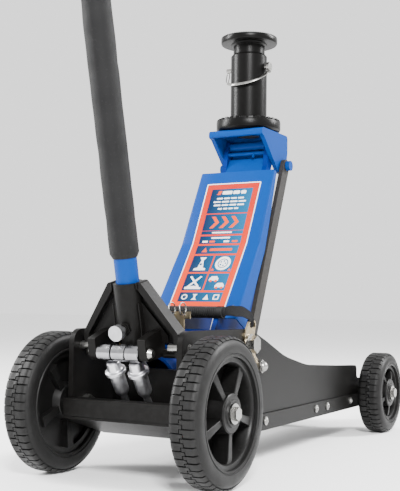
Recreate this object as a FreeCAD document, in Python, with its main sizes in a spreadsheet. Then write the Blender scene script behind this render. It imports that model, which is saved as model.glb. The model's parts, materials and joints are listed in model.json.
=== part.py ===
import FreeCAD, Part
import math
import os
import re
import Sketcher
from FreeCAD import Placement, Rotation, Vector

os.makedirs("parts", exist_ok=True)

# Driving dimensions of the jack, in millimetres and degrees. Y runs from the rear
# axle to the front wheels, X to the right as seen from the pump handle, Z up.
SIZES = {
    "origin_y": 235.6,
    # chassis
    "plate_out": 91.0, "plate_thick": 8.0, "plate_top": 205.0, "plate_rear": -30.0, "plate_front": 706.0,
    "tray_sheet": 3.0, "tray_base": 50.5, "flange_top": 75.5, "ramp_end": 62.0, "lip_rear": -40.0,
    "ramp_top": 82.0, "channel_top": 109.5, "tray_bolt_radius": 5.0,
    # wheels and axles
    "rear_radius": 100.0, "rear_wide": 45.0, "rear_opening": 68.5, "rear_hub": 29.5, "rear_inner": 108.0,
    "front_radius": 75.5, "front_wide": 46.0, "front_opening": 47.5, "front_hub": 29.5, "front_inner": 100.0,
    "wheelbase": 682.0, "axle_radius": 8.0, "axle_gap": 0.1, "step_front": 638.0,
    "spoke_count": 5, "spoke_width": 11.0,
    # lift arm linkage
    "lift_y": 165.0, "lift_z": 182.5, "arm_length": 377.8, "arm_angle": 60.9, "offset_y": 26.0,
    "offset_z": -33.5, "pivot_radius": 12.0, "fork_in": 34.0, "fork_thick": 8.0,
    "cover_half": 74.5, "cover_sheet": 3.0, "cover_top": 312.4, "cover_fold": 174.0, "cover_foot": 30.0,
    "rod_in": 51.5, "foot_in": 71.0, "rod_thick": 7.0, "rod_width": 22.0, "pin_radius": 8.0, "tie_pin": 6.5,
    "running": 0.06,
    # hydraulic unit
    "ram_radius": 12.0, "ram_z": 128.5, "lever_length": 60.0, "lever_pin_radius": 7.0, "tank_radius": 40.0,
    "tank_start": 42.0, "tank_end": 102.0, "gland_end": 108.0, "crosshead_half": 16.0,
    # saddle
    "cheek_in": 43.0, "cheek_thick": 7.0, "bracket_rear": 294.0, "bracket_front": 397.0,
    "bracket_top": 534.5, "saddle_y": 344.0, "saddle_radius": 55.0,
    "saddle_rim": 556.5, "saddle_floor": 543.5, "post_radius": 31.0, "post_bore": 27.2,
    "post_top": 670.5, "stem_radius": 27.0, "top_radius": 49.0, "top_z": 700.0,
    "lock_z": 647.5, "lock_radius": 4.0, "lock_head": 7.5,
    # pump yoke and handle
    "yoke_y": -9.3, "yoke_z": 182.0, "lean": 13.4, "socket_out": 20.75, "socket_bore": 16.06,
    "socket_y": 7.6, "socket_low": 4.5, "socket_high": 88.5, "bar_deep": 20.0, "bar_thick": 8.5,
    "roller_y": -27.3, "roller_z": -1.3, "roller_radius": 12.25, "roller_half": 33.5,
    "shaft_radius": 6.0, "lug_in": 34.0, "lug_wide": 12.0, "screw_z": 28.0, "screw_radius": 5.0,
    "screw_head": 10.5, "tube_radius": 16.0, "grip_radius": 20.5, "grip_start": 122.0, "grip_end": 720.0,
    "handle_end": 1140.0, "plunger_x": 18.5, "plunger_y": -20.9, "plunger_z": 149.1, "plunger_gap": 0.7,
    "plunger_tilt": 32.0, "plunger_rod": 5.0, "bore_depth": 24.0, "spindle_radius": 3.5,
    # carrying handle, cross bar and ring plate
    "carry_y": 120.0, "carry_z": 229.5, "carry_half": 73.0, "carry_radius": 9.0, "bar_radius": 7.0,
    "bar_y": 84.0, "bar_z": 188.0, "ring_y": 72.0, "ring_z": 234.0, "ring_radius": 9.0, "ring_wire": 1.0,
}

X_AXIS = Vector(1, 0, 0)
Y_AXIS = Vector(0, 1, 0)
Z_AXIS = Vector(0, 0, 1)

doc = FreeCAD.newDocument("trolley_jack")
sheet = doc.addObject("Spreadsheet::Sheet", "sizes")
for row, (alias, value) in enumerate(SIZES.items(), 1):
    sheet.set(f"A{row}", alias)
    sheet.set(f"B{row}", str(value))
    sheet.setAlias(f"B{row}", alias)
doc.recompute()

nodes = []


def size(alias):
    """A driving dimension, read from the spreadsheet."""
    return float(sheet.get(alias))


def expression(text):
    """The same formula with each alias written as a cell of the spreadsheet."""
    return re.sub(r"[a-z][a-z_]*[a-z]", lambda word: "sizes." + word.group() if word.group() in SIZES
                  else word.group(), str(text))


def bind(item, **formulas):
    for name, text in formulas.items():
        item.setExpression(name, expression(text))


def bind_base(item, x, y, z):
    for name, text in zip("xyz", (x, y, z)):
        item.setExpression(f"Placement.Base.{name}", expression(text))


def frame_of(where):
    """Origin formulas and tilt about X of the frame in which a sub-part is drawn."""
    frames = {
        "chassis": ("0", "0", 0.0),
        "arm": ("lift_y", "lift_z", size("arm_angle")),
        "yoke": ("yoke_y", "yoke_z", size("lean")),
        "plunger": ("plunger_y", "plunger_z", size("plunger_tilt")),
    }
    return frames[where]


def node(label, item, where="chassis", x="0"):
    """Name a sub-part and put its drawing frame where it belongs on the jack."""
    y, z, tilt = frame_of(where)
    item.Label = label
    item.Placement = Placement(Vector(), Rotation(X_AXIS, tilt))
    bind_base(item, x, f"{y} - origin_y", z)
    nodes.append(item)
    return item


def cylinder(radius, length, x="0", y="0", z="0", axis=X_AXIS):
    piece = doc.addObject("Part::Cylinder", "cylinder")
    piece.Placement = Placement(Vector(), Rotation(Z_AXIS, axis))
    bind(piece, Radius=radius, Height=length)
    bind_base(piece, x, y, z)
    return piece


def cone(radius_start, radius_end, length, x="0", y="0", z="0", axis=Z_AXIS):
    piece = doc.addObject("Part::Cone", "cone")
    piece.Placement = Placement(Vector(), Rotation(Z_AXIS, axis))
    bind(piece, Radius1=radius_start, Radius2=radius_end, Height=length)
    bind_base(piece, x, y, z)
    return piece


def block(length, width, height, x="0", y="0", z="0"):
    piece = doc.addObject("Part::Box", "block")
    bind(piece, Length=length, Width=width, Height=height)
    bind_base(piece, x, y, z)
    return piece


def hexagon(across, length, x, y, z, axis=X_AXIS):
    """A hexagonal head or nut, with its size across the flats."""
    piece = doc.addObject("Part::Prism", "hexagon")
    piece.Polygon = 6
    piece.Placement = Placement(Vector(), Rotation(Z_AXIS, axis))
    bind(piece, Circumradius=f"({across}) / 1.732", Height=length)
    bind_base(piece, x, y, z)
    return piece


def dome(radius, x, y, z):
    piece = doc.addObject("Part::Sphere", "dome")
    bind(piece, Radius=radius)
    bind_base(piece, x, y, z)
    return piece


def fuse(*pieces):
    joined = doc.addObject("Part::MultiFuse", "joined")
    joined.Shapes = list(pieces)
    return joined


def cut(base, *tools):
    result = base
    for tool in tools:
        step = doc.addObject("Part::Cut", "cut")
        step.Base = result
        step.Tool = tool
        result = step
    return result


def group(*pieces):
    """Separate solids kept in one node."""
    together = doc.addObject("Part::Compound", "group")
    together.Links = list(pieces)
    return together


def rounded(points):
    """Edges of a closed outline; a third number in a point rounds that corner."""
    corners = [(Vector(p[0], p[1], 0), p[2] if len(p) > 2 else 0.0) for p in points]
    tangents = []
    for index, (corner, radius) in enumerate(corners):
        before = (corners[index - 1][0] - corner).normalize()
        after = (corners[(index + 1) % len(corners)][0] - corner).normalize()
        half = before.getAngle(after) / 2
        reach = radius / math.tan(half) if radius else 0.0
        middle = (before + after).normalize() if radius else Vector()
        centre = corner + middle * (radius / math.sin(half)) if radius else corner
        tangents.append((corner + before * reach, centre - middle * radius, corner + after * reach, radius))
    edges = []
    for index, (start, crown, end, radius) in enumerate(tangents):
        if radius:
            edges.append(Part.Arc(start, crown, end))
        following = tangents[(index + 1) % len(tangents)][0]
        if (following - end).Length > 1e-6:
            edges.append(Part.LineSegment(end, following))
    return edges


def new_sketch(body, role, offset="0"):
    sketch = body.newObject("Sketcher::SketchObject", "sketch")
    plane = next(item for item in body.Origin.OriginFeatures if item.Role == role)
    sketch.AttachmentSupport = [(plane, "")]
    sketch.MapMode = "FlatFace"
    sketch.setExpression("AttachmentOffset.Base.z", expression(offset))
    return sketch


def draw_circle(sketch, x, y, radius):
    """A circle whose radius stays bound to the spreadsheet."""
    index = sketch.addGeometry(Part.Circle(Vector(x, y, 0), Z_AXIS, 5.0), False)
    constraint = sketch.addConstraint(Sketcher.Constraint("Radius", index, 5.0))
    sketch.setExpression(f"Constraints[{constraint}]", expression(radius))


def plate(points, x, thickness, holes=(), body=None):
    """A flat plate across X: its outline in Y and Z, and round holes (y, z, radius)."""
    body = body or doc.addObject("PartDesign::Body", "plate")
    sketch = new_sketch(body, "YZ_Plane", x)
    sketch.addGeometry(rounded(points), False)
    for y, z, radius in holes:
        draw_circle(sketch, y, z, radius)
    pad = body.newObject("PartDesign::Pad", "pad")
    pad.Profile = sketch
    pad.setExpression("Length", expression(thickness))
    body.Tip = pad
    return body


def turned(points, axis="H_Axis", role="XY_Plane"):
    """A turned piece: its half section in (along, out) swept round the sketch's axis."""
    body = doc.addObject("PartDesign::Body", "turned")
    sketch = new_sketch(body, role)
    sketch.addGeometry(rounded(points), False)
    spin = body.newObject("PartDesign::Revolution", "spin")
    spin.Profile = sketch
    spin.ReferenceAxis = (sketch, [axis])
    spin.Angle = 360
    body.Tip = spin
    return body


def mirror_points(points):
    return [(-p[0],) + tuple(p[1:]) for p in reversed(points)]


# Linkage points (y, z) with the arm raised
LIFT = (size("lift_y"), size("lift_z"))
TURN = math.radians(size("arm_angle"))
ARM_END = (LIFT[0] + size("arm_length") * math.cos(TURN), LIFT[1] + size("arm_length") * math.sin(TURN))
OFFSET = (size("offset_y"), size("offset_z"))
ROD_FOOT = (LIFT[0] + OFFSET[0], LIFT[1] + OFFSET[1])
ROD_END = (ARM_END[0] + OFFSET[0], ARM_END[1] + OFFSET[1])
REAR_AXLE = (0.0, size("rear_radius"))
FRONT_AXLE = (size("wheelbase"), size("front_radius"))
PUMP_PIVOT = (size("yoke_y"), size("yoke_z"))
LEVER_SWING = math.radians(36)
LEVER_PIN = (LIFT[0] + size("lever_length") * math.sin(LEVER_SWING),
             LIFT[1] - size("lever_length") * math.cos(LEVER_SWING))


def ramp_height(y, lift):
    """Height of the tray's sloping rear floor, measured on its underside plus lift."""
    fall = (size("ramp_top") - size("tray_base")) / (size("ramp_end") - size("lip_rear"))
    return size("ramp_top") - fall * (y - size("lip_rear")) + lift


def side_plate(label, x):
    """Tall at the rear for the pump and the arm's pivot, low at the front."""
    rear, front, top = size("plate_rear"), size("plate_front"), size("plate_top")
    base = size("tray_base") + size("tray_sheet")
    step = size("step_front")
    outline = [
        (rear, ramp_height(rear, 3.6)), (size("ramp_end") + 0.5, base + 0.1), (front, base, 8),
        (front, 100, 14), (step, 104, 8), (step, 128, 9), (546, 132), (390, 141, 300),
        (300, 159, 250), (228, 186, 90), (172, top, 60), (rear, top, 20),
    ]
    holes = [
        REAR_AXLE + ("axle_radius",), FRONT_AXLE + ("axle_radius",), LIFT + ("pivot_radius",),
        ROD_FOOT + ("tie_pin",), PUMP_PIVOT + ("pin_radius - 2",),
    ]
    return node(label, plate(outline, x, "plate_thick", holes))


side_plate("side_plate_right", "plate_out - plate_thick")
side_plate("side_plate_left", "-plate_out")


def skid_tray():
    """Bent sheet under the plates: floor, rear ramp and two side flanges."""
    sheet_thick, base = size("tray_sheet"), size("tray_base")
    rear, end, front = size("lip_rear"), size("ramp_end"), size("plate_front")
    floor = [
        (rear, size("ramp_top")), (end, base), (front, base), (front, base + sheet_thick),
        (end, base + sheet_thick), (rear, ramp_height(rear, sheet_thick)),
    ]
    front_flange = size("wheelbase") - 14
    top = size("flange_top")
    flange = [(end, base), (front_flange, base), (front_flange, top, 8), (-18, top)]
    body = plate(floor, "-plate_out", "2 * plate_out")
    plate(flange, "plate_out", "tray_sheet", body=body)
    plate(flange, "-plate_out - tray_sheet", "tray_sheet", body=body)
    return node("skid_tray", body)


skid_tray()

node("rear_cross_channel", fuse(
    block("2 * plate_out", "6", "channel_top - ramp_top - 3.5", "-plate_out", "lip_rear", "ramp_top + 3.5"),
    block("2 * (plate_out - plate_thick)", "18", "5", "plate_thick - plate_out", "lip_rear + 6",
          "channel_top - 5"),
))


def tray_bolts():
    """Dome nuts that hold the tray's flanges to the side plates."""
    pieces = []
    for side in (-1, 1):
        for y in (221, 425, 476, 594):
            face = f"{side} * (plate_out + tray_sheet)"
            ball = dome("tray_bolt_radius", face, y, "tray_base + 14")
            disc = cylinder("tray_bolt_radius + 1.5", "2", face, y, "tray_base + 14", X_AXIS * side)
            inner = block("40", "40", "40", f"{face} - {20 + 20 * side}", y - 20, "tray_base - 6")
            pieces.append(fuse(cut(ball, inner), disc))
    return node("tray_bolts", group(*pieces))


tray_bolts()


def axle_bolts(label, y, z, reach):
    """Shoulder bolts that carry the wheels, each through its plate, with washer, head and nut."""
    pieces = []
    for side in (-1, 1):
        along = X_AXIS * side
        inner = f"{side} * (plate_out - plate_thick)"
        shank = cylinder("axle_radius", f"{reach} - plate_out + plate_thick + 1", inner, y, z, along)
        washer = cylinder("13.5", "1.8", f"{side} * ({reach} + 0.3)", y, z, along)
        head = hexagon("16", "5", f"{side} * ({reach} + 2.1)", y, z, along)
        nut = hexagon("22", "9", inner, y, z, X_AXIS * -side)
        pieces.append(fuse(shank, washer, head, nut))
    return node(label, group(*pieces))


axle_bolts("rear_axle_bolts", "0", "rear_radius", "(rear_inner + rear_wide)")
axle_bolts("front_axle_bolts", "wheelbase", "front_radius", "(front_inner + front_wide)")


def wheel_rim(label, inner, wide, y, z, opening, hub, side):
    """Moulded centre: a bored hub, flat spokes, a closed web and the ring under the tyre."""
    ring = turned([(5, 0.94 * size(opening)), (size(wide) - 5, 0.94 * size(opening)),
                   (size(wide) - 5, size(opening) + 4), (5, size(opening) + 4)])
    core = turned([(2, 8 + size("axle_gap")), (size(wide) - 0.3, 8 + size("axle_gap")),
                   (size(wide) - 0.3, size(hub), 2), (2, size(hub) - 6)])
    web = turned([(12, 20), (16, 20), (16, size(opening) - 2), (12, size(opening) - 2)])
    parts = [ring, core, web]
    for number in range(int(size("spoke_count"))):
        spoke = block(f"{wide} - 14", "spoke_width", f"{opening} - {hub} + 3", "7", "-spoke_width / 2",
                      f"{hub} - 3")
        turn = Rotation(X_AXIS, 360.0 * number / size("spoke_count"))
        carrier = doc.addObject("Part::Compound", "spoke")
        carrier.Links = [spoke]
        carrier.Placement = Placement(Vector(), turn)
        parts.append(carrier)
    rim = fuse(*parts)
    rim.Placement = Placement(Vector(), Rotation(Z_AXIS, 0 if side > 0 else 180))
    bind_base(rim, f"{side} * {inner}", y, z)
    node(label, group(rim))


def wheel_tyre(label, inner, wide, radius, y, z, opening, side):
    """Solid tyre: flat tread with rounded shoulders."""
    outer, width = size(radius), size(wide)
    tyre = turned([(0, size(opening) + 4.1), (0, outer, 6), (width, outer, 6), (width, size(opening) + 4.1)])
    tyre.Placement = Placement(Vector(), Rotation(Z_AXIS, 0 if side > 0 else 180))
    bind_base(tyre, f"{side} * {inner}", y, z)
    node(label, group(tyre))


for side, name in ((1, "right"), (-1, "left")):
    wheel_rim(f"rear_rim_{name}", "rear_inner", "rear_wide", "0", "rear_radius", "rear_opening",
              "rear_hub", side)
    wheel_tyre(f"rear_tyre_{name}", "rear_inner", "rear_wide", "rear_radius", "0", "rear_radius",
               "rear_opening", side)
    wheel_rim(f"front_rim_{name}", "front_inner", "front_wide", "wheelbase", "front_radius",
              "front_opening", "front_hub", side)
    wheel_tyre(f"front_tyre_{name}", "front_inner", "front_wide", "front_radius", "wheelbase",
               "front_radius", "front_opening", side)


def along(direction, distance, start=(0.0, 0.0)):
    return (start[0] + direction[0] * distance, start[1] + direction[1] * distance)


# Lift arm, drawn along Y from its pivot, with its outer face towards +Z
def arm_plate(label, x):
    """Deep at the pivot, tapering to the fork that carries the saddle bracket."""
    reach, top, fold = size("arm_length"), size("cover_top"), size("cover_fold")
    outline = [
        (-26, -24, 18), (44, -90, 15), (160, -86, 25), (290, -24, 60), (reach + 12, -12, 11),
        (reach + 12, 9, 9), (reach - 12, 9, 6), (reach - 42, -2, 4), (top + 2, -2), (top, 13.2),
        (fold, 5.7), (30, 21.5), (-26, 21.5, 18),
    ]
    holes = [(0, 0, "pivot_radius + running"), (reach, 0, "pin_radius + running")]
    return node(label, plate(outline, x, "fork_thick", holes), "arm")


arm_plate("arm_plate_right", "fork_in")
arm_plate("arm_plate_left", "-fork_in - fork_thick")


def arm_cover():
    """Bent sheet over the arm, with shallow flanges folded down at its sides."""
    top, fold, foot, thick = size("cover_top"), size("cover_fold"), size("cover_foot"), size("cover_sheet")
    face = [(foot, 25.0), (fold, 9.0), (top, 16.5)]
    under = [(y, z - thick) for y, z in reversed(face)]
    body = plate(face + under, "-cover_half", "2 * cover_half")
    skirt = [(foot, 22.0), (fold, 6.0), (top, 13.5), (top, 8.0), (fold, -4.0), (foot, -8.0)]
    plate(skirt, "cover_half - cover_sheet", "cover_sheet", body=body)
    plate(skirt, "-cover_half", "cover_sheet", body=body)
    return node("arm_cover", body, "arm")


arm_cover()


def arm_label():
    """Printed film on the upper part of the cover."""
    start, fold, end, half = 46.0, size("cover_fold"), 291.0, "51"

    def height(s, lift):
        if s < fold:
            return 9.0 + (fold - s) * 16.0 / (fold - size("cover_foot")) + lift
        return 9.0 + (s - fold) * 7.5 / (size("cover_top") - fold) + lift

    low = [(s, height(s, 0.02)) for s in (start, fold, end)]
    high = [(s, height(s, 0.35)) for s in (end, fold, start)]
    return node("arm_label", plate(low + high, f"-{half}", f"2 * {half}"), "arm")


arm_label()
node("arm_cross_pieces", group(
    plate([(318, -1), (355, -5), (355, -9), (318, -5)], "-fork_in", "2 * fork_in"),
    fuse(cylinder("3.5", "2 * fork_in", "-fork_in", "arm_length - 17", "2"),
         cylinder("2", "9", "14", "arm_length - 17", "3", Y_AXIS * -1)),
), "arm")


def cover_screws():
    """Two low round heads that hold the cover's foot to the arm."""
    pieces = []
    for side in (-1, 1):
        pieces.append(cylinder("5", "2.6", f"{side} * 64", "46", "23.9", Z_AXIS))
    return node("cover_screws", group(*pieces), "arm")


cover_screws()


def arm_lever():
    """Pivot hub between the arm's plates, two lever cheeks and the pin the ram pushes."""
    turn = -math.radians(90 - 36) - TURN
    ahead = (math.cos(turn), math.sin(turn))
    across = (-ahead[1], ahead[0])
    reach = size("lever_length")
    corners = []
    ends = ((-18, 18, 16), (-18, -18, 16), (reach + 13, -13, 12), (reach + 13, 13, 12))
    for distance, half, radius in ends:
        spot = along(across, half, along(ahead, distance))
        corners.append(spot + (radius,))
    pin = along(ahead, reach)
    cheeks = [plate(corners, x, "8") for x in ("16", "-24")]
    hub = cut(fuse(cylinder("20", "2 * fork_in - 0.4", "-fork_in + 0.2"), *cheeks,
                   cylinder("lever_pin_radius", "100", "-50", pin[0], pin[1])),
              cylinder("pivot_radius + running", "2 * fork_in + 4", "-fork_in - 2"))
    return node("arm_lever", hub, "arm")


arm_lever()

# Pivot bolts on the side plates
node("arm_pivot_bolt", fuse(
    cylinder("pivot_radius", "2 * plate_out + 6", "-plate_out - 3", "lift_y", "lift_z"),
    cylinder("15.5", "2.5", "plate_out + 3", "lift_y", "lift_z"),
    cylinder("15.5", "2.5", "-plate_out - 5.5", "lift_y", "lift_z"),
    hexagon("23", "10", "plate_out + 5.5", "lift_y", "lift_z"),
    hexagon("23", "10", "-plate_out - 15.5", "lift_y", "lift_z"),
))


def tie_rod_bolts():
    """Short bolts with acorn nuts, one for the foot of each tie rod."""
    pieces = []
    for side in (-1, 1):
        direction = X_AXIS * side
        y, z = "lift_y + offset_y", "lift_z + offset_z"
        shank = cylinder("tie_pin", "plate_out - foot_in + 6.4", f"{side} * (foot_in - 3.4)", y, z, direction)
        head = cylinder("9", "2.6", f"{side} * (foot_in - 3.4)", y, z, direction)
        spacer = cylinder("9", "plate_out - plate_thick - foot_in - rod_thick - 1",
                          f"{side} * (foot_in + rod_thick + 0.8)", y, z, direction)
        nut = hexagon("18", "9", f"{side} * (plate_out + 3)", y, z, direction)
        crown = dome("8", f"{side} * (plate_out + 12)", y, z)
        half = block("30", "30", "30", f"{side} * (plate_out + 12) - {15 + 15 * side}", f"{y} - 15",
                     f"{z} - 15")
        pieces.append(fuse(shank, head, spacer, nut, cut(crown, half)))
    return node("tie_rod_bolts", group(*pieces))


tie_rod_bolts()


def strap_bracket(label, side):
    """Zinc plate under the pivot bolt, with a slotted ear for the carrying strap."""
    y, z = LIFT
    outline = [
        (y - 15, z - 12, 9), (y - 17, z + 14, 12), (y - 2, z + 34, 6), (y + 22, z + 36, 6),
        (y + 16, z + 14, 8), (y + 18, z - 16, 8), (y + 39, z - 32, 9), (y + 34, z - 46, 9),
        (y + 16, z - 44, 9),
    ]
    holes = [(y, z, "pivot_radius"), ROD_FOOT + ("tie_pin",)]
    body = plate(outline, "plate_out" if side > 0 else "-plate_out - 3", "3", holes)
    slot = block("8", "17", "7", f"{side} * (plate_out + 1.5) - 4", "lift_y", "lift_z + 25")
    return node(label, cut(body, slot))


strap_bracket("strap_bracket_right", 1)
strap_bracket("strap_bracket_left", -1)


def tie_rod(label, side):
    """Flat bar that keeps the saddle bracket level, splayed out towards its foot."""
    foot = (size("offset_y") * math.cos(TURN) + size("offset_z") * math.sin(TURN),
            size("offset_z") * math.cos(TURN) - size("offset_y") * math.sin(TURN))
    half, reach = size("rod_width") / 2, size("arm_length")
    outline = [
        (foot[0] - half, foot[1] - half, half - 0.1), (foot[0] + reach + half, foot[1] - half, half - 0.1),
        (foot[0] + reach + half, foot[1] + half, half - 0.1), (foot[0] - half, foot[1] + half, half - 0.1),
    ]
    bar = plate(outline, "0", "rod_thick")
    splay = Rotation(Z_AXIS, side * math.degrees(math.atan((size("foot_in") - size("rod_in")) / reach)))
    top = Vector(0, foot[0] + reach, 0)
    inner = size("rod_in") if side > 0 else -size("rod_in") - size("rod_thick")
    bar.Placement = Placement(Vector(inner, 0, 0) + top - splay.multVec(top), splay)
    holes = [cylinder("tie_pin + running", "200", "-100", y, foot[1]) for y in (foot[0], foot[0] + reach)]
    return node(label, cut(bar, *holes), "arm")


tie_rod("tie_rod_right", 1)
tie_rod("tie_rod_left", -1)


def saddle_bracket():
    """Folded bracket: top plate with a rear lip and a front web, and two cheeks for the linkage pins."""
    rear, front, top = size("bracket_rear"), size("bracket_front"), size("bracket_top")
    low = ROD_END[1] - 14
    cheek = [
        (rear, top - 12, 4), (rear + 8, top - 14, 6), (ROD_END[0] - 14, low + 1, 12),
        (ROD_END[0] + 13, low, 12),
        (front, top - 30, 12), (front, top, 6), (rear, top, 6),
    ]
    holes = [ARM_END + ("pin_radius",), ROD_END + ("tie_pin",)]
    body = plate(cheek, "cheek_in", "cheek_thick", holes)
    plate(cheek, "-cheek_in - cheek_thick", "cheek_thick", holes, body)
    width = "2 * cheek_in + 0.4"
    lid = [(rear, top - 12, 3), (rear + 6, top - 12), (rear + 6, top - 6, 3), (front - 6, top - 6, 3),
           (front - 6, top - 32), (front, top - 32), (front, top, 6), (rear, top, 6)]
    plate(lid, "-cheek_in - 0.2", width, body=body)
    hole = cylinder("20", "30", "0", "saddle_y", "bracket_top - 20", Z_AXIS)
    return node("saddle_bracket", cut(body, hole))


saddle_bracket()
node("bracket_pivot_pin", group(
    cylinder("pin_radius", "2 * (cheek_in + cheek_thick)", "-cheek_in - cheek_thick", *ARM_END),
))


def tie_rod_pins():
    """Headed pins through the cheeks and tie rods, with pressed caps."""
    pieces = []
    for side in (-1, 1):
        direction = X_AXIS * side
        shank = cylinder("tie_pin", "rod_in + rod_thick + 2 - cheek_in + 3", f"{side} * (cheek_in - 3)",
                         *ROD_END, direction)
        head = cylinder("9", "3", f"{side} * (cheek_in - 3)", *ROD_END, direction)
        cap = cylinder("8.5", "7", f"{side} * (rod_in + rod_thick + 0.9)", *ROD_END, direction)
        pieces.append(fuse(shank, head, cap))
    return node("tie_rod_pins", group(*pieces))


tie_rod_pins()

# Hydraulic unit between the side plates
PLUNGE = math.radians(size("plunger_tilt"))
PUSH = (math.sin(PLUNGE), -math.cos(PLUNGE))
PLUNGER = (size("plunger_y"), size("plunger_z"))
BLOCK_HALF = 52
BLOCK_REAR = 24


def tilted(piece, x, start, direction):
    """Lay a cylinder drawn along Z on a start point and a direction in Y and Z."""
    piece.Placement = Placement(Vector(x, *start), Rotation(Z_AXIS, Vector(0, *direction)))
    return piece


def free_cylinder(radius, length, x, start, direction):
    piece = doc.addObject("Part::Cylinder", "cylinder")
    bind(piece, Radius=radius, Height=length)
    return tilted(piece, x, start, direction)


VALVE = (30.0, 150.0)
VALVE_LINE = math.atan2(VALVE[1] - PUMP_PIVOT[1], VALVE[0] - PUMP_PIVOT[0])
VALVE_DIRECTION = (math.cos(VALVE_LINE), math.sin(VALVE_LINE))


def pump_block():
    """Valve block with the two pump bores, the ram bore and the release valve seat."""
    tank = size("tank_start")
    outline = [(2, 76), (tank, 60), (tank, 150), (BLOCK_REAR, 150), (BLOCK_REAR, 97.9), (2, 84.2)]
    body = plate(outline, str(-BLOCK_HALF), str(2 * BLOCK_HALF))
    mouth = along(PUSH, 60, PLUNGER)
    bores = [free_cylinder("plunger_rod + running", "bore_depth + 6", side * size("plunger_x"), mouth, PUSH)
             for side in (-1, 1)]
    ram = cylinder("ram_radius + running", "20", "0", BLOCK_REAR + 3, "ram_z", Y_AXIS)
    seat = free_cylinder("spindle_radius + running", "16", 0, along(VALVE_DIRECTION, -10, VALVE),
                         VALVE_DIRECTION)
    return node("pump_block", cut(body, *bores, ram, seat))


pump_block()
node("reservoir_tube", cut(
    cylinder("tank_radius", "tank_end - tank_start", "0", "tank_start", "ram_z", Y_AXIS),
    cylinder("tank_radius - 4", "tank_end - tank_start + 2", "0", "tank_start - 1", "ram_z", Y_AXIS),
))
node("power_cylinder", cut(
    fuse(cylinder("20", "gland_end - tank_start", "0", "tank_start", "ram_z", Y_AXIS),
         cylinder("tank_radius", "gland_end - tank_end", "0", "tank_end", "ram_z", Y_AXIS)),
    cylinder("ram_radius + running", "gland_end - tank_start + 2", "0", "tank_start - 1", "ram_z", Y_AXIS),
))
node("ram_rod", group(
    cylinder("ram_radius", LEVER_PIN[0] - size("crosshead_half") - 98.6, "0", "98.6", "ram_z", Y_AXIS),
))


def ram_crosshead():
    """Block on the ram's end, with an upright slot for the lever's pin."""
    y, half = LEVER_PIN[0], size("crosshead_half")
    body = block("28", "2 * crosshead_half", "42", "-14", y - half, "ram_z - 20")
    slot_low, slot_high = LIFT[1] - size("lever_length") - 8, LEVER_PIN[1] + 8
    slot = block("30", "17.2", slot_high - slot_low, "-15", y - 8.6, slot_low)
    return node("ram_crosshead", cut(body, slot))


ram_crosshead()


def arm_return_springs():
    """Two tension springs from the valve block to the ends of the lever's pin."""
    length = LEVER_PIN[0] - size("lever_pin_radius") - size("tank_start") - 0.4
    return node("arm_return_springs", group(*[
        cylinder("3.8", str(length), side * 46.6, size("tank_start") + 0.2, LEVER_PIN[1], Y_AXIS)
        for side in (-1, 1)]))


arm_return_springs()


def plunger(label, side):
    """Pump plunger: cap under the roller, flange, bullet-shaped body and thin rod."""
    rod = size("plunger_rod")
    gap = size("roller_radius") + size("plunger_gap")
    top = 29.2 - gap
    section = [
        (0, -70), (rod, -70), (rod, -41), (10, -33, 8), (10.5, -4), (14.5, -3.5, 1), (14.5, 1.5, 1),
        (10.5, 3, 2), (9, top, 4), (0, top),
    ]
    return node(label, turned(section, "V_Axis", "XZ_Plane"), "plunger", f"{side} * plunger_x")


plunger("plunger_right", 1)
plunger("plunger_left", -1)

# Saddle, extension post and lock pin


def on_post(label, section, drilled=True):
    """A turned piece on the post's axis, drilled across for the lock pin."""
    body = turned(section, "V_Axis", "XZ_Plane")
    body.setExpression("Placement.Base.y", expression("saddle_y"))
    drill = cylinder("lock_radius + running", "120", "-60", "saddle_y", "lock_z")
    return node(label, cut(body, drill) if drilled else group(body))


LID = size("bracket_top")
RIM = size("saddle_radius")
on_post("lower_saddle", [
    (0, LID - 5.5), (19.94, LID - 5.5), (19.94, LID + 0.3), (RIM - 5, LID + 0.3), (RIM, LID + 5, 3),
    (RIM, size("saddle_rim"), 1.5), (RIM - 6, size("saddle_rim"), 1.5), (RIM - 8, size("saddle_floor"), 1),
    (0, size("saddle_floor")),
], drilled=False)
POST, BORE, POST_TOP = size("post_radius"), size("post_bore"), size("post_top")
on_post("extension_post", [
    (BORE, size("saddle_floor") + 0.5), (POST, size("saddle_floor") + 0.5), (POST, POST_TOP - 3),
    (POST - 2.5, POST_TOP), (BORE, POST_TOP),
])
TOP, TOP_RADIUS, STEM = size("top_z"), size("top_radius"), size("stem_radius")
on_post("top_saddle", [
    (0, POST_TOP - 110), (STEM, POST_TOP - 110), (STEM, TOP - 14), (STEM + 3, TOP - 11),
    (TOP_RADIUS - 2, TOP - 11, 2), (TOP_RADIUS, TOP - 8, 1), (TOP_RADIUS, TOP, 1), (TOP_RADIUS - 5, TOP, 1),
    (TOP_RADIUS - 7, TOP - 3), (0, TOP - 3),
])
node("lock_pin", fuse(
    cylinder("lock_radius", "78", "-42", "saddle_y", "lock_z"),
    cylinder("lock_head", "4.5", "36", "saddle_y", "lock_z"),
))


def lock_pin_bail():
    """Wire bail round the post from the pin's head to its tip, with an eye at the head."""
    half, reach, droop, wire = 39.0, 33.5, 34.0, 1.2
    middle = Vector(0, size("saddle_y") - reach, size("lock_z") - droop)
    right, left = [Vector(side * half, size("saddle_y"), size("lock_z") - 9) for side in (1, -1)]
    path = Part.Wire([Part.Arc(right, middle, left).toShape()])
    start = path.Edges[0]
    tangent = start.tangentAt(start.FirstParameter)
    section = Part.Wire([Part.Circle(right, tangent, wire).toShape()])
    bail = doc.addObject("Part::Feature", "bail")
    eye = Part.makeCylinder(2 * wire, 4 * wire, right - Z_AXIS * 4 * wire)
    bail.Shape = path.makePipeShell([section], True, True).fuse(eye)
    return node("lock_pin_bail", bail)


lock_pin_bail()


# Pump yoke, drawn upright about its pivot and leaned back with the handle
SCREW = Vector(0.05, -0.999, 0)


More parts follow.
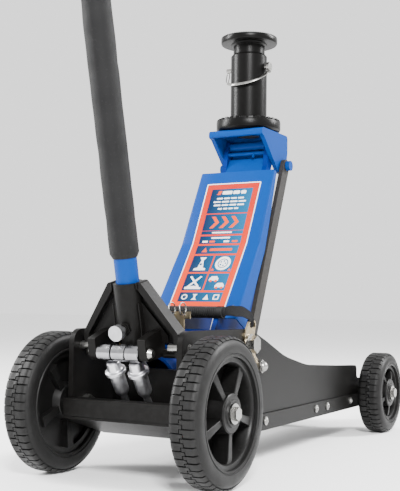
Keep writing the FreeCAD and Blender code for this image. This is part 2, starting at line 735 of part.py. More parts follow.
def on_screw(distance):
    """X and Y of a point on the clamp screw, counted from the socket's axis."""
    return SCREW.x * distance, size("socket_y") + SCREW.y * distance


def upright(points, y, depth, body=None):
    """A plate across Y: its outline in X and Z."""
    body = body or doc.addObject("PartDesign::Body", "upright")
    sketch = new_sketch(body, "XZ_Plane", f"-({y})")
    sketch.addGeometry(rounded(points), False)
    pad = body.newObject("PartDesign::Pad", "pad")
    pad.Profile = sketch
    pad.Reversed = True
    pad.setExpression("Length", expression(depth))
    body.Tip = pad
    return body


node("yoke_socket", cut(
    cylinder("socket_out", "socket_high - socket_low", "0", "socket_y", "socket_low", Z_AXIS),
    cylinder("socket_bore", "socket_high - socket_low + 2", "0", "socket_y", "socket_low - 1", Z_AXIS),
    cylinder("screw_radius + running", "40", "0", "socket_y", "screw_z", SCREW),
), "yoke")


def yoke_side_bars():
    """The two bars of the A frame, from the socket's mouth down to the pivots."""
    thick = size("bar_thick")
    outer = [(20.4, 90), (26, 90, 4), (77, 19, 12), (77, -14, 4)]
    inner = [(77 - thick, -14), (77 - thick, 17, 8), (20.4, 80)]
    bars = []
    for points in (outer + inner, mirror_points(outer + inner)):
        bars.append(cut(upright(points, "socket_y - bar_deep / 2", "bar_deep"),
                        cylinder("pin_radius - 2 + running", "200", "-100")))
    sleeve = cylinder("socket_out + 0.01", "120", "0", "socket_y", "0", Z_AXIS)
    return node("yoke_side_bars", cut(group(*bars), sleeve), "yoke")


yoke_side_bars()


def yoke_webs():
    """Web plates beside the socket, lugs for the roller's shaft and stubs to the bars."""
    web = [(15, 64), (17, 66), (56, 16), (56, 6), (15, 6)]
    pieces = []
    for points in (web, mirror_points(web)):
        pieces.append(upright(points, "socket_y - 3", "6"))
    lug = [(-37, -11, 9), (-37, 20, 3), (-14, 23, 3), (12, 24, 5), (12, -14, 5), (-20, -12, 5)]
    for x in ("lug_in", "-lug_in - lug_wide"):
        pieces.append(plate(lug, x, "lug_wide"))
    for side in (-1, 1):
        pieces.append(cylinder("shaft_radius", "77 - bar_thick - lug_in - lug_wide + 1",
                               f"{side} * (lug_in + lug_wide - 1)", "8", "-10.5", X_AXIS * side))
    tools = [
        cylinder("socket_out + 0.01", "120", "0", "socket_y", "-5", Z_AXIS),
        cylinder("shaft_radius", "200", "-100", "roller_y", "roller_z"),
    ]
    return node("yoke_webs", cut(fuse(*pieces), *tools), "yoke")


yoke_webs()


def roller_shaft():
    """Shaft across the lugs, with a domed head at each end."""
    reach = "(lug_in + lug_wide)"
    pieces = [cylinder("shaft_radius", f"2 * {reach} + 1", f"-{reach} - 0.5", "roller_y", "roller_z")]
    for side in (-1, 1):
        pieces.append(cone("8", "5", "5", f"{side} * {reach}", "roller_y", "roller_z", X_AXIS * side))
    return node("roller_shaft", fuse(*pieces), "yoke")


roller_shaft()


def pump_rollers():
    """Three hardened sleeves that roll on the plunger caps."""
    sleeves = []
    third = 2 * size("roller_half") / 3
    for number in range(3):
        start = -size("roller_half") + number * third + 0.2
        sleeves.append(cut(
            cylinder("roller_radius", third - 0.4, start, "roller_y", "roller_z"),
            cylinder("shaft_radius + running", third + 2, start - 1, "roller_y", "roller_z"),
        ))
    return node("pump_rollers", group(*sleeves), "yoke")


pump_rollers()
node("clamp_screw", fuse(
    cylinder("screw_radius", "24", *on_screw(17.5), "screw_z", SCREW),
    cylinder("screw_head", "9", *on_screw(38), "screw_z", SCREW),
), "yoke")
node("yoke_pivot_pins", group(*[
    cylinder("pin_radius - 2", "plate_out - 60", f"{side} * 60", "yoke_y", "yoke_z", X_AXIS * side)
    for side in (-1, 1)]))

# Handle, drawn along Z in the yoke's frame
node("handle_tube", fuse(
    cut(cylinder("tube_radius", "handle_end - 12", "0", "socket_y", "9", Z_AXIS),
        cylinder("tube_radius - 3", "handle_end - 30", "0", "socket_y", "19", Z_AXIS)),
    block("4", "8", "8", "3.5", "socket_y - 4", "1.5"),
    block("4", "8", "8", "-7.5", "socket_y - 4", "1.5"),
), "yoke")


def sleeve(label, radius, start, end):
    node(label, cut(
        cylinder(radius, f"({end}) - ({start})", "0", "socket_y", start, Z_AXIS),
        cylinder("tube_radius", f"({end}) - ({start}) + 2", "0", "socket_y", f"{start} - 1", Z_AXIS),
    ), "yoke")


sleeve("foam_sleeve", "grip_radius", "grip_start", "grip_end")
node("handle_grip", cut(
    cylinder("tube_radius + 3.5", "155", "0", "socket_y", "handle_end - 150", Z_AXIS),
    cylinder("tube_radius", "148", "0", "socket_y", "handle_end - 151", Z_AXIS),
), "yoke")


def release_spindle():
    """Release valve spindle with the knuckle of its universal joint."""
    start = along(VALVE_DIRECTION, 14, PUMP_PIVOT)
    length = math.dist(start, VALVE) + 5
    rod = free_cylinder("spindle_radius", str(length), 0, start, VALVE_DIRECTION)
    return node("release_spindle", fuse(rod, dome("5", "0", *along(VALVE_DIRECTION, 16, PUMP_PIVOT))))


release_spindle()

# Carrying handle across the rear, and the bar with the ring plate
node("cross_bar", group(
    cylinder("bar_radius", "2 * (plate_out - plate_thick)", "plate_thick - plate_out", "bar_y", "bar_z"),
))
node("carry_handle", group(cylinder("carry_radius", "2 * carry_half", "-carry_half", "carry_y", "carry_z")))


def carry_strap(side):
    """Webbing from the end of the carrying handle down to the bracket's ear."""
    route = [(size("carry_half") + 4, size("carry_y"), size("carry_z")), (85.0, 137.0, 230.0),
             (91.0, 155.0, 227.0), (93.0, 166.0, 223.5)]
    pieces = []
    for start, end in zip(route, route[1:]):
        start = Vector(side * start[0], start[1], start[2])
        end = Vector(side * end[0], end[1], end[2])
        run = doc.addObject("Part::Cylinder", "run")
        run.Radius = 4
        run.Height = (end - start).Length
        run.Placement = Placement(start, Rotation(Z_AXIS, end - start))
        pieces.append(run)
        if end.z > 225:
            pieces.append(dome("4", end.x, end.y, end.z))
    return fuse(*pieces)


node("carry_straps", group(carry_strap(1), carry_strap(-1)))
RING_X = (14, 32)
node("ring_plate", cut(
    fuse(block("24", "3", "32", "8", "76", "196"), block("34", "3", "10", "8", "76", "220")),
    *[cylinder("3", "8", x, "74", "226.8", Y_AXIS) for x in RING_X],
))


def wire_rings():
    """Two wire rings hanging in the holes of the ring plate."""
    pieces = []
    for x in RING_X:
        ring = doc.addObject("Part::Torus", "ring")
        bind(ring, Radius1="ring_radius", Radius2="ring_wire")
        ring.Placement = Placement(Vector(x, size("ring_y"), size("ring_z")), Rotation(Y_AXIS, 90))
        pieces.append(ring)
    return node("wire_rings", group(*pieces))


wire_rings()


doc.recompute()
for item in doc.Objects:
    if "Invalid" in item.State or "Error" in item.State:
        raise RuntimeError(f"{item.Name} ({item.Label}) did not recompute: {item.State}")
for item in nodes:
    if item.Shape.isNull() or not item.Shape.isValid() or not item.Shape.Solids:
        raise RuntimeError(f"{item.Label} has no valid solid")
for item in nodes:
    item.Shape.exportStep(f"parts/{item.Label}.step")
print(len(nodes), "nodes written")
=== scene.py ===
import json
import math
import random

import bmesh
import bpy
from mathutils import Matrix, Vector


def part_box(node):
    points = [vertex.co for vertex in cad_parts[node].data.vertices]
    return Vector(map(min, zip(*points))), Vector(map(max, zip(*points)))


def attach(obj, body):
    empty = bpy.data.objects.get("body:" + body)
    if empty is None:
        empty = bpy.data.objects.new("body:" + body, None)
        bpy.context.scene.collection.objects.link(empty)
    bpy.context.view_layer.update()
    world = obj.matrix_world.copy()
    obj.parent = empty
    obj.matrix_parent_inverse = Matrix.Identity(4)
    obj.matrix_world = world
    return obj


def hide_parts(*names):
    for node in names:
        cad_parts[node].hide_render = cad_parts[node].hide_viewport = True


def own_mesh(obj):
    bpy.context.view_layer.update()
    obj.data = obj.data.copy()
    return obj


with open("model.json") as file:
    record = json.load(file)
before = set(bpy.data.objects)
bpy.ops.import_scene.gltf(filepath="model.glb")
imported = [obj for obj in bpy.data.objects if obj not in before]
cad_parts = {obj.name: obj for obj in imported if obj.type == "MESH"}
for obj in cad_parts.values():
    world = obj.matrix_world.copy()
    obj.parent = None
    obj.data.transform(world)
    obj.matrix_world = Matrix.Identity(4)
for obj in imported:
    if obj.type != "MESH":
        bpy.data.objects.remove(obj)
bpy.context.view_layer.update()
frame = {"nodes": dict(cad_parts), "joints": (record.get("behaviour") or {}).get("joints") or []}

NODES = frame["nodes"]
JOINTS = {joint["name"]: joint for joint in frame["joints"]}
MM = 0.001
X_AXIS = Vector((1, 0, 0))


# ---------------------------------------------------------------- camera and light
def centre(node):
    low, high = [Vector(corner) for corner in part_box(node)]
    return (low + high) / 2


def add_camera():
    """Stands behind the pump handle, to the right of it and low."""
    camera = bpy.data.objects.new("camera", bpy.data.cameras.new("camera"))
    bpy.context.scene.collection.objects.link(camera)
    camera.data.sensor_fit = "VERTICAL"
    camera.data.sensor_height = 36
    camera.data.lens = 68.66
    axle = centre("rear_axle_bolts")
    yaw, pitch, roll = math.radians(29.17), math.radians(3.59), math.radians(0.71)
    camera.location = (0.7072, axle.y - 1.0888, axle.z + 0.1408)
    aim = Matrix.Rotation(yaw, 3, "Z") @ Matrix.Rotation(math.pi / 2 + pitch, 3, "X")
    camera.rotation_euler = (aim @ Matrix.Rotation(roll, 3, "Z")).to_euler()
    bpy.context.scene.camera = camera


def add_light(name, place, target, size, power):
    light = bpy.data.objects.new(name, bpy.data.lights.new(name, "AREA"))
    bpy.context.scene.collection.objects.link(light)
    light.data.shape = "RECTANGLE"
    light.data.size, light.data.size_y = size
    light.data.energy = power
    light.location = place
    light.rotation_euler = (Vector(target) - Vector(place)).to_track_quat("-Z", "Y").to_euler()


def add_studio():
    """Pale floor, white surroundings and large soft boxes."""
    world = bpy.data.worlds.new("studio")
    bpy.context.scene.world = world
    world.use_nodes = True
    backdrop = world.node_tree.nodes["Background"]
    backdrop.inputs["Color"].default_value = (1, 1, 1, 1)
    backdrop.inputs["Strength"].default_value = 1.6
    add_light("key", (1.5, -2.3, 2.0), (0, -0.1, 0.3), (0.5, 0.7), 230)
    add_light("side", (-2.4, -0.9, 1.5), (0, -0.1, 0.3), (0.35, 1.6), 190)
    add_light("rim", (1.6, 1.6, 1.9), (0, 0, 0.4), (0.5, 1.2), 150)
    mesh = bpy.data.meshes.new("floor")
    reach = 14
    mesh.from_pydata([(-reach, -reach, 0), (reach, -reach, 0), (reach, reach, 0), (-reach, reach, 0)],
                     [], [(0, 1, 2, 3)])
    floor = bpy.data.objects.new("floor", mesh)
    bpy.context.scene.collection.objects.link(floor)
    floor.location.z = -0.0006
    material = bpy.data.materials.new("floor")
    material.use_nodes = True
    shader = material.node_tree.nodes["Principled BSDF"]
    shader.inputs["Base Color"].default_value = (0.93, 0.93, 0.93, 1)
    shader.inputs["Roughness"].default_value = 0.75
    mesh.materials.append(material)


add_camera()
add_studio()


# ---------------------------------------------------------------- materials
class Material:
    """A Principled material with layers of procedural colour, roughness and bump."""

    def __init__(self, name, colour, roughness, metallic=0.0):
        self.material = bpy.data.materials.new(name)
        self.material.use_nodes = True
        self.tree = self.material.node_tree
        self.shader = self.tree.nodes["Principled BSDF"]
        self.shader.inputs["Metallic"].default_value = metallic
        self.place = self.tree.nodes.new("ShaderNodeTexCoord").outputs["Object"]
        self.colour = self.constant_colour(colour)
        self.rough = self.constant(roughness)
        self.normal = None

    def constant_colour(self, colour):
        node = self.tree.nodes.new("ShaderNodeRGB")
        node.outputs[0].default_value = (*colour, 1)
        return node.outputs[0]

    def constant(self, number):
        node = self.tree.nodes.new("ShaderNodeValue")
        node.outputs[0].default_value = number
        return node.outputs[0]

    def noise(self, scale, detail=4.0, stretch=(1, 1, 1), low=0.3, high=0.7):
        """Noise between 0 and 1; scale is in bumps per metre."""
        mapping = self.tree.nodes.new("ShaderNodeMapping")
        mapping.inputs["Scale"].default_value = stretch
        self.tree.links.new(self.place, mapping.inputs["Vector"])
        node = self.tree.nodes.new("ShaderNodeTexNoise")
        node.inputs["Scale"].default_value = scale
        node.inputs["Detail"].default_value = detail
        self.tree.links.new(mapping.outputs[0], node.inputs["Vector"])
        return self.ramp(node.outputs["Fac"], low, high)

    def ramp(self, source, low, high):
        node = self.tree.nodes.new("ShaderNodeMapRange")
        node.inputs["From Min"].default_value = low
        node.inputs["From Max"].default_value = high
        self.tree.links.new(source, node.inputs["Value"])
        return node.outputs["Result"]

    def edges(self, low=0.52, high=0.6):
        """1 along convex edges, broken up by noise."""
        point = self.tree.nodes.new("ShaderNodeNewGeometry").outputs["Pointiness"]
        return self.multiply(self.ramp(point, low, high), self.noise(140, 6, low=0.42, high=0.62))

    def multiply(self, first, second):
        node = self.tree.nodes.new("ShaderNodeMath")
        node.operation = "MULTIPLY"
        for socket, value in zip(node.inputs, (first, second)):
            if isinstance(value, (int, float)):
                socket.default_value = value
            else:
                self.tree.links.new(value, socket)
        return node.outputs[0]

    def tint(self, mask, colour, strength=1.0):
        """Mix the colour in where the mask is bright."""
        node = self.tree.nodes.new("ShaderNodeMix")
        node.data_type = "RGBA"
        self.tree.links.new(self.multiply(mask, strength), node.inputs["Factor"])
        self.tree.links.new(self.colour, node.inputs["A"])
        node.inputs["B"].default_value = (*colour, 1)
        self.colour = node.outputs["Result"]
        return self

    def roughen(self, mask, roughness, strength=1.0):
        node = self.tree.nodes.new("ShaderNodeMix")
        self.tree.links.new(self.multiply(mask, strength), node.inputs["Factor"])
        self.tree.links.new(self.rough, node.inputs["A"])
        node.inputs["B"].default_value = roughness
        self.rough = node.outputs["Result"]
        return self

    def bump(self, height, distance, strength=1.0):
        node = self.tree.nodes.new("ShaderNodeBump")
        node.inputs["Strength"].default_value = strength
        node.inputs["Distance"].default_value = distance
        self.tree.links.new(height, node.inputs["Height"])
        if self.normal:
            self.tree.links.new(self.normal, node.inputs["Normal"])
        self.normal = node.outputs["Normal"]
        return self

    def set(self, **sockets):
        """Constant numbers straight on the shader's own sockets."""
        for name, value in sockets.items():
            self.shader.inputs[name.replace("_", " ")].default_value = value
        return self

    def done(self):
        self.tree.links.new(self.colour, self.shader.inputs["Base Color"])
        self.tree.links.new(self.rough, self.shader.inputs["Roughness"])
        if self.normal:
            self.tree.links.new(self.normal, self.shader.inputs["Normal"])
        return self.material


def powder_coat(name, colour, light, roughness=0.42):
    """Fine-textured baked paint, rubbed a little at its edges."""
    paint = Material(name, colour, roughness)
    paint.tint(paint.noise(9, 3), light, 0.2)
    paint.tint(paint.noise(380, 2, low=0.64, high=0.74), tuple(3.5 * part for part in colour), 0.35)
    paint.tint(paint.edges(0.56, 0.66), tuple(2.5 * part + 0.008 for part in colour), 0.15)
    paint.roughen(paint.noise(60, 5), roughness + 0.04, 0.12)
    paint.bump(paint.noise(2400, 2), 0.00008, 0.35)
    paint.shader.inputs["Specular IOR Level"].default_value = 0.08
    return paint.done()


def gloss_paint(name, colour, shade, roughness=0.3):
    """Smooth enamel with faint orange peel and a few dull patches."""
    paint = Material(name, colour, roughness)
    paint.tint(paint.noise(7, 3), shade, 0.4)
    paint.tint(paint.noise(420, 2, low=0.62, high=0.72), tuple(0.6 * part for part in colour), 0.25)
    paint.roughen(paint.noise(35, 5), roughness + 0.16, 0.7)
    paint.bump(paint.noise(520, 2), 0.00012, 0.35)
    paint.set(Coat_Weight=0.04, Coat_Roughness=0.2)
    paint.shader.inputs["Specular IOR Level"].default_value = 0.05
    return paint.done()


def plated(name, colour, tone, roughness, grain=900, stretch=(1, 1, 1)):
    """Plated or bare steel: cloudy tone, fine grain and small stains."""
    metal = Material(name, colour, roughness, metallic=1.0)
    metal.tint(metal.noise(90, 5), tone, 0.6)
    metal.tint(metal.noise(330, 3, low=0.6, high=0.75), tuple(0.45 * part for part in colour), 0.4)
    metal.roughen(metal.noise(210, 5), roughness + 0.2, 0.7)
    metal.bump(metal.noise(grain, 3, stretch), 0.00006, 0.4)
    return metal.done()


def moulded(name, colour, worn, roughness, grain=1500, depth=0.00012):
    """Moulded rubber or plastic with a fine grain and scuffed highlights."""
    stuff = Material(name, colour, roughness)
    stuff.tint(stuff.noise(28, 5), worn, 0.45)
    stuff.tint(stuff.noise(260, 4, low=0.58, high=0.7), tuple(1.8 * part + 0.01 for part in colour), 0.35)
    stuff.tint(stuff.edges(0.52, 0.6), tuple(2.4 * part + 0.01 for part in colour), 0.4)
    stuff.roughen(stuff.noise(45, 4), roughness + 0.15, 0.8)
    stuff.bump(stuff.noise(grain, 3), depth, 0.5)
    stuff.shader.inputs["Specular IOR Level"].default_value = 0.16
    return stuff.done()


def webbing_material():
    """Woven nylon: fine ribs across two directions, with a soft sheen."""
    cloth = Material("webbing", (0.004, 0.004, 0.0045), 0.7)
    for axis in ("X", "Y", "Z"):
        wave = cloth.tree.nodes.new("ShaderNodeTexWave")
        wave.bands_direction = axis
        wave.inputs["Scale"].default_value = 260
        wave.inputs["Distortion"].default_value = 0.6
        cloth.tree.links.new(cloth.place, wave.inputs["Vector"])
        cloth.bump(wave.outputs["Fac"], 0.0003, 0.5)
    cloth.tint(cloth.noise(900, 2), (0.012, 0.012, 0.013), 0.6)
    cloth.shader.inputs["Specular IOR Level"].default_value = 0.06
    return cloth.done()


BLACK = powder_coat("frame_black", (0.003, 0.0028, 0.0026), (0.006, 0.0056, 0.0051), 0.38)
POST_BLACK = powder_coat("post_black", (0.0026, 0.0025, 0.0024), (0.005, 0.0047, 0.0045), 0.3)
ROD = powder_coat("rod_grey", (0.021, 0.0195, 0.0185), (0.030, 0.028, 0.0265), 0.42)
BLUE = gloss_paint("arm_blue", (0.0, 0.030, 0.165), (0.0, 0.038, 0.20), 0.36)
# Painted shade: a darker copy of the arm blue, for the arm's side plates and lever and for the power unit,
# which stand in shade.
PAINTED_SHADE_BLUE = gloss_paint("painted_shade_blue", (0.0, 0.012, 0.11), (0.0, 0.018, 0.15), 0.36)
ZINC = plated("zinc", (0.30, 0.296, 0.285), (0.19, 0.186, 0.176), 0.24)
PASSIVATED = plated("passivated", (0.34, 0.265, 0.15), (0.42, 0.37, 0.29), 0.24)
CHROME = plated("chrome", (0.30, 0.30, 0.31), (0.22, 0.22, 0.235), 0.12, 2400)
SATIN = plated("satin", (0.62, 0.62, 0.64), (0.40, 0.40, 0.42), 0.3, 1200)
STEEL = plated("steel", (0.42, 0.42, 0.43), (0.30, 0.30, 0.31), 0.32, 700, (1, 8, 8))
RUBBER = moulded("tyre_black", (0.004, 0.0039, 0.0038), (0.0075, 0.0073, 0.0071), 0.42)
RIM = moulded("rim_black", (0.0028, 0.0027, 0.0026), (0.0055, 0.0053, 0.0051), 0.36, 900)
FOAM = moulded("foam", (0.0045, 0.0045, 0.0047), (0.008, 0.008, 0.0083), 0.6, 1900, 0.0003)
GRIP = moulded("grip_rubber", (0.0045, 0.0045, 0.0047), (0.008, 0.008, 0.008), 0.5)
WEBBING = webbing_material()


# ---------------------------------------------------------------- building helpers
def put(mesh, name, body, material, smooth=30, bevel=0.0):
    """Link a new piece, smooth it by angle, round its edges and let it ride on its body."""
    mesh.update()
    piece = bpy.data.objects.new(name, mesh)
    bpy.context.scene.collection.objects.link(piece)
    if not mesh.materials:
        mesh.materials.append(material)
    mesh.shade_smooth()
    if bevel:
        soften(piece, bevel)
    mesh.set_sharp_from_angle(angle=math.radians(smooth))
    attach(piece, body)
    return piece


def soften(piece, width):
    """Round the edges that turn more than 35 degrees."""
    bevel = piece.modifiers.new("edge", "BEVEL")
    bevel.width = width
    bevel.segments = 2
    bevel.limit_method = "ANGLE"
    bevel.angle_limit = math.radians(35)
    bevel.harden_normals = False


class Frame:
    """A place and two directions in the row frame, with points given in millimetres."""

    def __init__(self, origin, first, second, third):
        self.origin, self.axes = Vector(origin), [Vector(a).normalized() for a in (first, second, third)]

    def __call__(self, x, y, z):
        return self.origin + sum((axis * part * MM for axis, part in zip(self.axes, (x, y, z))), Vector())


def place_of(joint):
    return Vector(JOINTS[joint]["pos_m"])


PIVOT, ARM_END = place_of("lift_arm_pivot"), place_of("bracket_level")
ALONG = (ARM_END - PIVOT).normalized()
ARM = Frame(PIVOT, X_AXIS, ALONG, X_AXIS.cross(ALONG))
STEM = Vector(JOINTS["handle_twist"]["axis"]).normalized()
YOKE = Frame(place_of("pump_hinge"), X_AXIS, STEM.cross(X_AXIS), STEM)
POST = centre("extension_post")
SOCKET_Y = 7.6          # from the pump hinge to the socket's axis, across the yoke


def mesh_of(name, points, faces):
    mesh = bpy.data.meshes.new(name)
    mesh.from_pydata(points, [], faces)
    mesh.validate()
    return mesh


def merged(name, shapes):
    """One mesh from several (points, faces) shapes."""
    points, faces = [], []
    for more_points, more_faces in shapes:
        faces += [tuple(index + len(points) for index in face) for face in more_faces]
        points += more_points
    return mesh_of(name, points, faces)


def loft(rings, capped=True):
    """Skin through closed rings of equal length."""
    count = len(rings[0])
    faces = []
    for ring in range(len(rings) - 1):
        for item in range(count):
            after = (item + 1) % count
            faces.append((ring * count + item, ring * count + after,
                          (ring + 1) * count + after, (ring + 1) * count + item))
    if capped:
        faces.append(tuple(reversed(range(count))))
        faces.append(tuple(range((len(rings) - 1) * count, len(rings) * count)))
    return [point for ring in rings for point in ring], faces


def prism(outline, place, depth):
    """Outline of (a, b) pairs given by place(a, b, offset), between two offsets."""
    return loft([[place(a, b, level) for a, b in outline] for level in depth])


def lathe(profile, start, axis, segments=96, looped=False):
    """Turn (along, radius) pairs, in millimetres, about an axis."""
    axis = Vector(axis).normalized()
    side = axis.orthogonal().normalized()
    rings = []
    for along, radius in profile:
        ring = []
        for item in range(segments):
            turn = Matrix.Rotation(2 * math.pi * item / segments, 3, axis)
            ring.append(Vector(start) + axis * along * MM + turn @ side * radius * MM)
        rings.append(ring)
    if looped:
        rings.append(rings[0])
    return loft(rings, capped=not looped)


def tube(points, radius, sides=12, flat=1.0, facing=None):
    """Round or flattened bar along a path of points; facing sets the flat direction."""
    rings = []
    for number, point in enumerate(points):
        ahead = points[min(number + 1, len(points) - 1)] - points[max(number - 1, 0)]
        ahead.normalize()
        wanted = facing(number / (len(points) - 1)) if facing else Vector((0.3, 0.5, 0.81))
        wide = ahead.cross(wanted).normalized()
        thin = wide.cross(ahead).normalized()
        rings.append([point + (wide * math.cos(turn) + thin * math.sin(turn) * flat) * radius * MM
                      for turn in [2 * math.pi * side / sides for side in range(sides)]])
    return loft(rings)


def curve(knots, steps=12):
    """Smooth path through the knots."""
    ends = [knots[0] * 2 - knots[1]] + list(knots) + [knots[-1] * 2 - knots[-2]]
    path = []
    for a, b, c, d in zip(ends, ends[1:], ends[2:], ends[3:]):
        for step in range(steps):
            t = step / steps
            path.append(0.5 * (2 * b + (c - a) * t + (2 * a - 5 * b + 4 * c - d) * t * t
                               + (3 * b - a - 3 * c + d) * t ** 3))
    return path + [knots[-1]]


# ---------------------------------------------------------------- finishes of the CAD pieces
FINISH = {
    "side_plate_right": (BLACK, "frame_black", 0.6), "side_plate_left": (BLACK, "frame_black", 0.6),
    "skid_tray": (BLACK, "frame_black", 0.5), "rear_cross_channel": (BLACK, "frame_black", 1.2),
    "tray_bolts": (ZINC, "zinc", 0.5), "rear_axle_bolts": (ZINC, "zinc", 0.6),
    # The arm's side plates and lever take the darker copy of the arm blue, as painted shade.
    "front_axle_bolts": (ZINC, "zinc", 0.6), "arm_plate_right": (PAINTED_SHADE_BLUE, "arm_blue", 0.8),
    "arm_plate_left": (PAINTED_SHADE_BLUE, "arm_blue", 0.8), "arm_cross_pieces": (BLUE, "arm_blue", 0.3),
    "cover_screws": (ZINC, "zinc", 0.6), "arm_lever": (PAINTED_SHADE_BLUE, "arm_blue", 0.8),
    "arm_pivot_bolt": (ZINC, "zinc", 0.6), "tie_rod_bolts": (ZINC, "zinc", 0.6),
    "strap_bracket_right": (PASSIVATED, "zinc", 0.4), "strap_bracket_left": (PASSIVATED, "zinc", 0.4),
    "tie_rod_right": (ROD, "rod_grey", 0.5), "tie_rod_left": (ROD, "rod_grey", 0.5),
    "saddle_bracket": (BLUE, "arm_blue", 1.0), "bracket_pivot_pin": (BLUE, "arm_blue", 0.6),
    "tie_rod_pins": (BLUE, "zinc", 0.8), "pump_block": (BLACK, "frame_black", 2.0),
    # The reservoir and the power cylinder take the darker copy of the arm blue, as painted shade.
    "reservoir_tube": (PAINTED_SHADE_BLUE, "arm_blue", 1.0), "power_cylinder": (PAINTED_SHADE_BLUE, "arm_blue", 1.0),
    "ram_rod": (CHROME, "chrome", 0.5), "ram_crosshead": (STEEL, "steel", 1.0),
    "plunger_right": (SATIN, "chrome", 0.8), "plunger_left": (SATIN, "chrome", 0.8),
    "extension_post": (POST_BLACK, "post_black", 0.6), "lock_pin": (ZINC, "zinc", 0.8),
    "yoke_socket": (BLACK, "frame_black", 0.9), "yoke_side_bars": (BLACK, "frame_black", 0.8),
    "yoke_webs": (BLACK, "frame_black", 0.8), "roller_shaft": (ZINC, "zinc", 0.4),
    "clamp_screw": (STEEL, "chrome", 1.2),
    "yoke_pivot_pins": (ZINC, "zinc", 0.5), "handle_tube": (BLUE, "arm_blue", 0.3),
    "handle_grip": (GRIP, "foam", 1.0), "release_spindle": (STEEL, "steel", 0.4),
    "cross_bar": (BLACK, "frame_black", 0.4), "ring_plate": (PASSIVATED, "zinc", 0.3),
}
for node, (material, slot, width) in FINISH.items():
    piece = NODES[node]
    piece.data.materials.clear()
    piece.data.materials.append(material)
    soften(piece, width * MM)


# ---------------------------------------------------------------- wheels
def tread_block(spin_place, inner, outer, low, radius, start, width, tongue):
    """One block: a half-wide tongue at its inner end, and a rounded outer shoulder."""
    neck = inner + tongue
    stations = [(inner, 0.5), (neck, 0.5), (neck + 0.05 * tongue, 1.0)]
    for row in range(1, 8):
        stations.append((neck + (outer - neck) * row / 7, 1.0))
    rings = []
    for across, part in stations:
        share = (across - inner) / (outer - inner)
        top = radius - 3.6 * max(0.0, (share - 0.7) / 0.3) ** 1.8
        rings.append([spin_place(across, start + shift * part, height)
                      for shift, height in ((0, low), (0, top), (width, top), (width, low))])
    return loft(rings)


def wheel(name, axle, inner, wide, radius, opening, hub, side):
    """Tyre with two interlocking rows of blocks, and a moulded rim with five spokes on each face."""
    axle = Vector(axle)
    outward = Vector((side, 0, 0))
    start = axle + outward * inner * MM
    body = name.replace("WHAT", "wheel")

    def spot(across, turn, height):
        return (start + outward * across * MM
                + Vector((0, math.cos(turn), math.sin(turn))) * height * MM)

    carcass = radius - 2.8
    profile = [(5, opening + 4.1), (1.2, opening + 4.4), (0.4, opening + 7), (1.6, opening + 8),
               (1.6, opening + 9.2), (0.3, opening + 10), (0.0, radius - 16), (0.9, radius - 10.5),
               (3.2, radius - 6), (6.5, carcass - 0.8), (wide / 2 - 0.9, carcass), (wide / 2, carcass - 0.8),
               (wide / 2 + 0.9, carcass), (wide - 6.5, carcass - 0.8), (wide - 3.2, radius - 6),
               (wide - 0.9, radius - 10.5), (wide, radius - 16),
               (wide - 0.3, opening + 10), (wide - 1.6, opening + 9.2), (wide - 1.6, opening + 8),
               (wide - 0.4, opening + 7), (wide - 1.2, opening + 4.4), (wide - 5, opening + 4.1)]
    shapes = [lathe(profile, start, outward, 120, looped=True)]
    count = round(radius * 0.54)
    pitch = 2 * math.pi / count
    step = wide * 0.05
    middle = wide / 2
    for number in range(count):
        width = pitch * (0.82 + 0.03 * math.sin(number * 2.4))
        shapes.append(tread_block(spot, middle - step + 0.6, wide - 4.2, carcass - 1, radius,
                                  number * pitch, width, 2 * step))
        shapes.append(tread_block(spot, middle + step - 0.6, 4.2, carcass - 1, radius,
                                  (number + 0.5) * pitch, width, -2 * step))
    tyre = put(merged(name.replace("WHAT", "tread"), shapes), name.replace("WHAT", "tread"), body, RUBBER,
               40, 0.4 * MM)
    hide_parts(name.replace("WHAT", "tyre"))

    ring = [(5, 0.94 * opening), (wide - 9, 0.94 * opening), (wide - 5.4, 0.97 * opening),
            (wide - 5, opening + 4), (5, opening + 4)]
    drum = [(2, 8.4), (wide - 1.2, 8.4), (wide - 1.2, 13), (wide - 0.3, 14), (wide - 0.3, 17.5),
            (wide - 2.0, 18.5), (wide - 2.0, hub - 5), (wide - 3.4, hub - 3.4), (18, hub - 2), (12, hub - 1),
            (2, hub - 6)]
    web = [(12, 20), (14.5, 20), (14.5, opening - 8), (17, opening - 4), (17, opening), (12, opening)]
    shapes = [lathe(part, start, outward, 96, looped=True) for part in (ring, drum, web)]
    for number in range(5):
        turn = 2 * math.pi * number / 5 + math.radians(57)
        scale = opening / 68.5
        half = (4.4 * scale, 6.0 * scale)
        shapes.append(spoke(spot, turn, hub - 5, 0.955 * opening, half, (13, wide - 5.0), 0.7))
        shapes.append(spoke(spot, turn, hub - 5, 0.95 * opening, half, (12.5, 3.5), -0.7))
        shapes.append(spoke(spot, turn + math.pi / 5, hub - 3, 0.955 * opening, (1.0, 1.0), (13, 20), 0.3))
    rim = put(merged(name.replace("WHAT", "spokes"), shapes), name.replace("WHAT", "spokes"), body, RIM,
              40, 0.6 * MM)
    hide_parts(name.replace("WHAT", "rim"))


def spoke(spot, turn, low, high, half, depth, chamfer):
    """Tapered rib on the web, between two radii, widening and falling away towards the ring."""
    rings = []
    for radius, wide, drop in ((low, half[0], 0.0), (low + 6, half[0], 0.3), (high - 6, half[1], 1.6),
                               (high, half[1] + 1.5, 3.0)):
        angle = wide / radius
        edge = (wide - chamfer) / radius
        top = depth[1] - drop
        rings.append([spot(x, turn + a, radius) for x, a in (
            (depth[0], -angle), (top - chamfer, -angle), (top, -edge), (top, edge), (top - chamfer, angle),
            (depth[0], angle))])
    return loft(rings)


